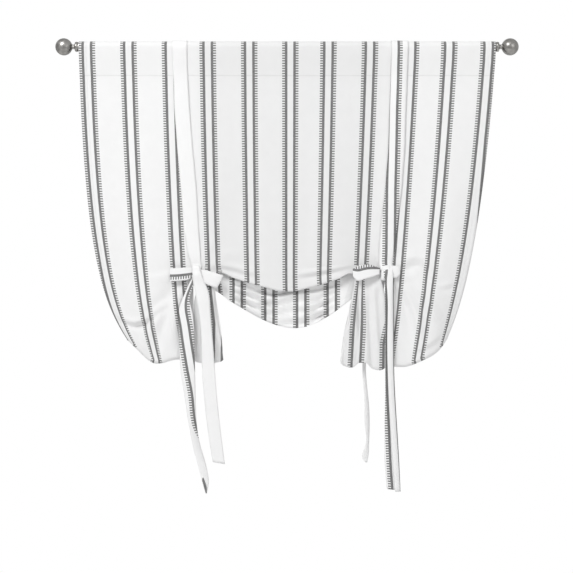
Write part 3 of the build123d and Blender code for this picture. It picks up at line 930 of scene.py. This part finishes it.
def ribbon_grid(stations, count):
    """A ribbon through stations of centre, half width, cupping and print offset."""
    line = smooth_line(stations, count)
    centre, half, cup, offset = line[:, :3], line[:, 3:6], line[:, 6], line[:, 7]
    ahead = np.gradient(centre, axis=0)
    facing = np.cross(ahead, half)
    facing /= np.linalg.norm(facing, axis=1, keepdims=True)
    shares = np.linspace(-1, 1, RIBBON_ACROSS)
    grid = centre[None] + shares[:, None, None] * half[None]
    grid = grid + ((1 - shares**2)[:, None] * cup[None])[..., None] * facing[None]
    width = np.linalg.norm(half, axis=1)
    place = shares[:, None] * width[None] - offset[None]
    steps = np.linalg.norm(np.diff(centre, axis=0), axis=1)
    run = np.concatenate([[0.0], np.cumsum(steps)])
    return grid, place, np.repeat(run[None], RIBBON_ACROSS, axis=0)


class Ribbon:
    """A tie's strips of ribbon, gathered into one mesh."""

    def __init__(self):
        self.places, self.faces, self.values = [], [], []

    def strip(self, stations, count, side=None):
        """side is None for plain ribbon, 0 for both printed lines, or the one line's side."""
        rows = [(tuple(station) + (0.0, 0.0))[:8] for station in stations]
        grid, place, run = ribbon_grid(rows, count)
        apart = np.zeros(place.shape)
        if side is not None:
            apart = np.abs(place) if side == 0 else np.maximum(place * side, 0.0)
        self.faces += quads(grid, sum(map(len, self.places)))
        self.places.append(grid.reshape(-1, 3))
        self.values.append([apart.ravel(), run.ravel(), place.ravel()])

    def mesh(self, name):
        attributes = dict(zip(("stripe", "run", "warp"), np.concatenate(self.values, axis=1)))
        places = np.concatenate(self.places)
        plain = np.ones(len(places))
        # Ribbons have no seam, no hem and no painted shading
        attributes.update(edge=FAR * plain, seam=FAR * plain, middle=0 * plain)
        return cloth_mesh(name, places, self.faces, attributes)


def over_front(x, z, half):
    """How far forward a strap lies at height z, just clear of the cloth under it."""
    if z > SEAM_DROP - 12:
        outline = sorted((place_z, place_y) for place_y, place_z in pocket_section() if place_y < 0)
        return np.interp(z, *zip(*outline)) - POCKET_CLEARANCE
    nearest = min(front_y(pocket_x(x + half * side, z), z) for side in (-1, -0.5, 0, 0.5, 1))
    return min(nearest, -1.0) - FRONT_CLEARANCE


def between_stations(front):
    """The same stations with one more between each two."""
    front = np.array(front, float)
    wanted = np.arange(0, len(front) - 0.9, 0.5)
    return np.stack([np.interp(wanted, range(len(front)), column) for column in front.T], axis=1).tolist()


def strap_over(front, back, tie_x, knot_half, cup):
    """Stations of a strap from the gather behind, over the pocket, down to the knot in front."""
    stations = [(tie_x, BACK_DEPTH, KNOT_HEIGHT, knot_half * 0.6, 0, 0, 2.0, 0.0)]
    for x, z, half in back:
        y = mix(RIBBON_OVER, BACK_DEPTH, min(1.0, z / TIE_LEVEL))
        stations.append((x, y, z, half, 0, 0, 0.6, 0.0))
    top_x, _, top_half, offset = front[0]
    for angle in np.linspace(0, math.pi, 9):
        y, z = RIBBON_OVER * math.cos(angle), RIBBON_OVER * math.sin(angle)
        stations.append((top_x, y, z, top_half, 0, 0, 0.0, offset))
    for x, z, half, offset in between_stations(front):
        stations.append((x, over_front(x, z, half), z, half, 0, 0, cup, offset))
    return stations


# The wrap of a knot: half its depth and half its height, and how much it is pinched where it
# turns. How far a loop's front swells forward, and its back backward.
WRAP_DEPTH = 7.0
WRAP_HEIGHT = 18.5
WRAP_PINCH = 0.18
LOOP_SWELLS = (6.0, 4.0)


def knot_wrap(tie_x, half, turn):
    """Stations of the wrap that holds a bow together, once round from top to bottom."""
    stations = []
    for angle in np.linspace(0, 2 * math.pi, 13):
        y = KNOT_DEPTH - 1.0 - WRAP_DEPTH * math.sin(angle)
        z = KNOT_HEIGHT + WRAP_HEIGHT * math.cos(angle)
        pinch = 1.0 - WRAP_PINCH * abs(math.cos(angle))
        stations.append((tie_x + turn * math.cos(angle), y, z, half * pinch, 0, turn * 0.3, 2.2, 0.0))
    return stations


def loop_stations(points, tilt, depth, offset=0.0):
    """Stations of a bow's loop, through its x, z and half width: out in front, and back behind."""
    out = math.copysign(1, points[-1][0] - points[0][0])
    stations = []
    for index, (x, z, half) in enumerate(points):
        lift = LOOP_SWELLS[0] * math.sin(math.pi * (index + 0.4) / len(points))
        stations.append((x, depth - lift, z, -out * tilt * half, 0, half, 0.8, offset))
    for index, (x, z, half) in reversed(list(enumerate(points[:-1]))):
        lift = LOOP_SWELLS[1] * math.sin(math.pi * (index + 0.8) / len(points))
        stations.append((x, depth + lift, z, -out * tilt * half, 0, half * 0.97, -0.4, offset))
    return stations


def pass_under(tie_x, half):
    """Stations of the gathered neck that passes forward under the panel into the knot."""
    return [
        (tie_x, BACK_DEPTH + 0.5, KNOT_HEIGHT - 3, half, 0, 0, 2.5),
        (tie_x, 12, KNOT_HEIGHT - 5, half * 0.9, 0, 0, 3.0),
        (tie_x, 0, KNOT_HEIGHT - 5, half * 0.85, 0, 0, 3.0),
        (tie_x, -12, KNOT_HEIGHT - 4, half * 0.85, 0, 0, 3.0),
        (tie_x, KNOT_DEPTH + 4, KNOT_HEIGHT - 2, half * 0.85, 0, 0, 2.0),
    ]


class CURTAIN_OT_tie_left(bpy.types.Operator):
    """Lay the left ribbon over the pocket and tie it in its bow"""

    bl_idname = "curtain.tie_left"
    bl_label = "Tie the left ribbon"

    def execute(self, context):
        settings = context.scene.curtain_cloth
        ribbon = Ribbon()
        front = [
            (-290, -14, 20.5, 0), (-289, -50, 20, 0), (-287, -90, 19.5, 0), (-284, -164, 20.5, 0),
            (-275, -280, 21, 0), (-265, -391, 21, 0), (-258, -496, 20, 0), (-250, -560, 16.5, 0),
            (-244, -594, 13, 0),
        ]
        tail = [
            (-242, -33, -612, 11.5, 0, 0, 3.5), (-239, -32, -630, 14, 0, 0, 2.5),
            (-232, -31, -652, 17.5, 1, 0, 2.0), (-222, -32, -710, 16, 2, 0, 2.0),
            (-216.5, -33, -766, 14.8, 1, 0, 1.5), (-211, -33, -868, 17.3, 0, 0, 1.0),
            (-203.5, -32, -963, 17.5, -1, 0, 1.2), (-193.5, -32, -1050, 17.3, 0, 0, 1.0),
            (-183, -32, -1123, 16.3, 1, -3, 0.8),
        ]
        back = [(-250, -540, 12), (-262, -430, 18), (-277, -230, 21), (-288, -60, 21.5)]
        ribbon.strip(strap_over(front, back, LEFT_TIE_X, 14, 1.0) + tail, 240)
        ribbon.strip(pass_under(LEFT_TIE_X, 8.5), 14)
        ribbon.strip(knot_wrap(LEFT_TIE_X, 11.5, -2.0), 48)
        striped_loop = [
            (-248, -611, 9), (-262, -613, 15.5), (-288, -616, 17.3), (-308, -617, 17.4), (-315, -617, 17.2),
        ]
        ribbon.strip(loop_stations(striped_loop, 0.02, -25.0, 9.0), 60, side=-1)
        plain_loop = [
            (-238, -614, 11), (-226, -619, 14.5), (-206, -627, 16.5), (-186, -634, 17.3), (-180, -636, 17),
        ]
        ribbon.strip(loop_stations(plain_loop, -0.49, -24.0), 60)
        ribbon.strip([
            (-247, -24, -616, 6, 0, 1, 1.0, -10), (-255, -27, -638, 7, -2, 0, 1.0, -10),
            (-265, -30, -662, 7.5, -3, 0, 1.0, -10), (-271.5, -32, -684, 10, -3, 0, 1.0, -10),
            (-273, -33, -710, 17, -2, 0, 1.0, -9.5), (-271, -33, -745, 20.3, -1, 0, 1.0, -5.5),
            (-269.5, -33, -785, 20.5, 0, 0, 1.0, -1), (-268, -34, -836, 20, 1, 0, 1.0, 5.6),
            (-265.5, -34, -885, 18.6, 3, 0, 1.0, 11.5), (-260.5, -34, -941, 14.8, 4, 0, 1.0, 17),
            (-255.5, -33, -1001, 11.5, 5, 0, 2.0, 18), (-250, -32, -1040, 9.5, 6, 0, 2.0, 24),
            (-243, -32, -1075, 9.5, 6, 0, 2.0, 40),
            (-232, -32, -1115, 10.5, 5, 0, 2.0, 45), (-223, -32, -1150, 9.5, 3, 2, 1.5, 45),
            (-217.5, -32, -1185, 6.5, 2, 2, 1.0, 45), (-217, -32, -1205, 1.5, 0, 0, 0.5, 45),
        ], 110, side=0)
        ribbon.strip([
            (-231, -33.5, -1149, 1, 0, 0, 0, 11.5), (-225, -34.5, -1168, 3.4, 0, 0, 0.4, 11.5),
            (-219.5, -34.5, -1186, 3.6, 0, 0, 0.4, 11.5), (-217, -33.5, -1203, 1, 0, 0, 0, 11.5),
        ], 14, side=0)
        cotton = printed_cloth("left_ribbon_cotton", settings, settings.ribbon_colour)
        piece = add_piece("left_ribbon", ribbon.mesh("left_ribbon"), cotton, "hung_curtain")
        thicken(piece, settings.thickness)
        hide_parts("left_tie")
        return {"FINISHED"}


class CURTAIN_OT_tie_right(bpy.types.Operator):
    """Lay the right ribbon over the pocket and tie it in its bow"""

    bl_idname = "curtain.tie_right"
    bl_label = "Tie the right ribbon"

    def execute(self, context):
        settings = context.scene.curtain_cloth
        ribbon = Ribbon()
        front = [
            (305, -14, 23, -15), (304, -50, 23, -14.5), (303, -90, 22.5, -14), (300, -164, 22.5, -13.5),
            (296, -280, 22.5, -12), (287, -391, 22.5, -6), (278, -461, 22, 2), (270, -540, 20.5, 9),
            (266, -588, 18, 12),
        ]
        tail = [
            (269, -31.5, -606, 15.5, 0, 0, 3.0, 10), (273, -33, -622, 12.5, 0, 0, 2.5, 4),
            (276, -34, -638, 10.2, 1, 0, 2.5, 0),
            (277.5, -35, -660, 8.8, 3, 0, 3.0, -2), (278, -36, -766, 8.8, 3, 0, 3.0, -2),
            (279, -36, -882, 8.8, 3, 0, 3.0, -2), (285, -36, -1001, 8.8, 3, 0, 3.0, -2),
            (292.5, -36, -1117, 8.3, 3, 0, 2.5, -2), (297.5, -36, -1199, 7, 3, 0, 2.0, -2),
        ]
        back = [(272, -540, 12), (282, -430, 18), (294, -230, 21), (302, -60, 22)]
        ribbon.strip(strap_over(front, back, RIGHT_TIE_X, 14, 2.6) + tail, 240, side=0)
        ribbon.strip(pass_under(RIGHT_TIE_X, 8.5), 14)
        ribbon.strip(knot_wrap(RIGHT_TIE_X, 12.0, 2.0), 48)
        puffed_loop = [
            (250, -607, 8), (236, -607, 13.5), (220, -607.5, 18), (202, -611, 20.3), (186, -613, 17.5),
            (177, -611, 9.5),
        ]
        ribbon.strip(loop_stations(puffed_loop, 0.0, -25.0, -3.0), 70, side=1)
        short_loop = [(268, -608, 11), (282, -609, 15.5), (296, -608, 14.5), (303, -606, 9)]
        ribbon.strip(loop_stations(short_loop, 0.1, -24.0), 50)
        ribbon.strip([
            (268, -27, -618, 5, 0, 0, 1.0, 10.5), (269.5, -30, -700, 6.2, 2, 0, 1.0, 9),
            (271, -31, -840, 7.3, 2, 0, 1.0, 7.5), (271.5, -31, -912, 7.6, 2, 0, 1.0, 7.8),
            (272.5, -31, -1031, 10.5, 1, 0, 1.0, 12.5), (277, -31, -1147, 13, 0, 0, 1.0, 13.7),
            (281, -31, -1194, 12.5, 0, -1.5, 0.8, 13.5),
        ], 90, side=-1)
        ribbon.strip([
            (262, 22, -612, 8, 0, 0, 1.0), (250, 24, -690, 6, 2, 0, 2.0), (226, 26, -780, 4.5, 3, 0, 2.0),
            (211.5, 26, -841, 4.7, 3, 0, 2.0), (216, 25, -955, 5.4, 3, 0, 2.0),
            (218.8, 25, -1036, 5.8, 3, 0, 2.0), (217.5, 25, -1085, 5.4, 2, 0, 1.5),
            (213, 24, -1112, 8.5, 1, 3, 1.0), (216, 24, -1127, 2, 0, 0, 0.5),
        ], 80)
        cotton = printed_cloth("right_ribbon_cotton", settings, settings.ribbon_colour)
        piece = add_piece("right_ribbon", ribbon.mesh("right_ribbon"), cotton, "hung_curtain")
        thicken(piece, settings.thickness)
        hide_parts("right_tie")
        return {"FINISHED"}


class CURTAIN_OT_finish_rod(bpy.types.Operator):
    """Give the rod, finials, studs and plugs their metal and plastic"""

    bl_idname = "curtain.finish_rod"
    bl_label = "Finish the rod"

    def execute(self, context):
        settings = context.scene.curtain_metal
        rod = brushed_metal("satin_steel", settings.rod_colour, settings.roughness, 0.8)
        pewter = brushed_metal("brushed_pewter", settings.finial_colour, settings.roughness, 0.62)
        plug = moulded_plastic("moulded_plug", settings.plug_colour)
        finishes = {
            "outer_rod": rod, "inner_rod": rod, "left_finial_stud": rod, "right_finial_stud": rod,
            "left_finial": pewter, "right_finial": pewter, "left_end_plug": plug, "right_end_plug": plug,
        }
        for name, material in finishes.items():
            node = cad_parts[name]
            for material_slot in node.material_slots:
                material_slot.material = material
        return {"FINISHED"}


# The floor: how pale it is, and how far it is lifted to white where it is looked at
FLOOR_COLOUR = 0.9
FLOOR_LIFT = 0.62


def pale_floor():
    """A pale surface that keeps shadows, lifted towards white where the camera or a gloss looks."""
    nodes = Nodes(bpy.data.materials.new("pale_floor"))
    nodes.set(Base_Color=opaque((FLOOR_COLOUR,) * 3), Roughness=0.9)
    glow = nodes.add("ShaderNodeEmission")
    glow.inputs["Color"].default_value = opaque((1, 1, 1))
    nodes.lift_where_looked_at(("Is Camera Ray", "Is Glossy Ray"), FLOOR_LIFT, glow)
    return nodes.owner


def pale_studio(strength):
    """Even light from all round, seen as white by the camera and through glass."""
    nodes = Nodes(bpy.data.worlds.new("studio"))
    nodes.set(Color=opaque((1, 1, 1)), Strength=strength)
    white = nodes.add("ShaderNodeBackground")
    white.inputs["Color"].default_value = opaque((1, 1, 1))
    white.inputs["Strength"].default_value = 1.0
    nodes.lift_where_looked_at(("Is Camera Ray", "Is Transmission Ray"), 1.0, white)
    return nodes.owner


def stage_sheet(name, corners, material):
    """A flat sheet of the stage."""
    mesh = bpy.data.meshes.new(name)
    mesh.from_pydata(corners, [], [tuple(range(len(corners)))])
    mesh.materials.append(material)
    piece = bpy.data.objects.new(name, mesh)
    bpy.context.scene.collection.objects.link(piece)


# Each lamp's place and width in metres
KEY_LAMP = ((-2.0, -3.5, 2.6), 2.0)
FILL_LAMP = ((2.6, -3.4, 0.6), 2.4)


def area_lamp(name, place, size, target, power):
    """A soft square lamp that faces its target."""
    lamp = bpy.data.lights.new(name, "AREA")
    lamp.size = size
    lamp.energy = power
    holder = bpy.data.objects.new(name, lamp)
    holder.location = place
    holder.rotation_euler = (Vector(target) - Vector(place)).to_track_quat("-Z", "Y").to_euler()
    bpy.context.scene.collection.objects.link(holder)


class CURTAIN_OT_set_stage(bpy.types.Operator):
    """Set the floor, the backdrop, the lamps and the camera"""

    bl_idname = "curtain.set_stage"
    bl_label = "Set the stage"

    def execute(self, context):
        settings = context.scene.curtain_stage
        floor, reach = settings.floor_height, settings.floor_reach
        corners = [(x * reach, y * reach, floor) for x, y in ((-1, -1), (1, -1), (1, 1), (-1, 1))]
        stage_sheet("floor", corners, pale_floor())
        context.scene.world = pale_studio(settings.world_strength)

        target = (0.0, 0.0, settings.view_height)
        area_lamp("key_lamp", *KEY_LAMP, target, settings.key_power)
        area_lamp("fill_lamp", *FILL_LAMP, target, settings.fill_power)
        camera_data = bpy.data.cameras.new("camera")
        camera_data.lens = settings.lens
        distance = settings.view_width * settings.lens / camera_data.sensor_width
        camera = bpy.data.objects.new("camera", camera_data)
        camera.location = (-0.00135, -distance - 0.01, settings.view_height)
        camera.rotation_euler = (math.pi / 2, 0, 0)
        context.scene.collection.objects.link(camera)
        context.scene.camera = camera
        context.scene.view_settings.view_transform = "Standard"
        return {"FINISHED"}


class CURTAIN_PT_panel(bpy.types.Panel):
    """The curtain's pieces, in the order that they are made"""

    bl_idname = "CURTAIN_PT_panel"
    bl_label = "Curtain"
    bl_space_type = "VIEW_3D"
    bl_region_type = "UI"
    bl_category = "Curtain"

    def draw(self, context):
        for operator in OPERATORS:
            self.layout.operator(operator.bl_idname)


OPERATORS = (
    CURTAIN_OT_set_stage,
    CURTAIN_OT_hang_panel,
    CURTAIN_OT_tie_left,
    CURTAIN_OT_tie_right,
    CURTAIN_OT_finish_rod,
)
SETTINGS = {
    "curtain_cloth": ClothSettings,
    "curtain_metal": MetalSettings,
    "curtain_stage": StageSettings,
}


def register():
    for name, group in SETTINGS.items():
        bpy.utils.register_class(group)
        setattr(bpy.types.Scene, name, bpy.props.PointerProperty(type=group))
    for operator in OPERATORS:
        bpy.utils.register_class(operator)
    bpy.utils.register_class(CURTAIN_PT_panel)


def unregister():
    bpy.utils.unregister_class(CURTAIN_PT_panel)
    for operator in reversed(OPERATORS):
        bpy.utils.unregister_class(operator)
    for name, group in reversed(SETTINGS.items()):
        delattr(bpy.types.Scene, name)
        bpy.utils.unregister_class(group)


def main():
    register()
    bpy.ops.curtain.set_stage()
    bpy.ops.curtain.hang_panel()
    bpy.ops.curtain.tie_left()
    bpy.ops.curtain.tie_right()
    bpy.ops.curtain.finish_rod()
    bpy.context.view_layer.update()


if __name__ == "__main__":
    main()
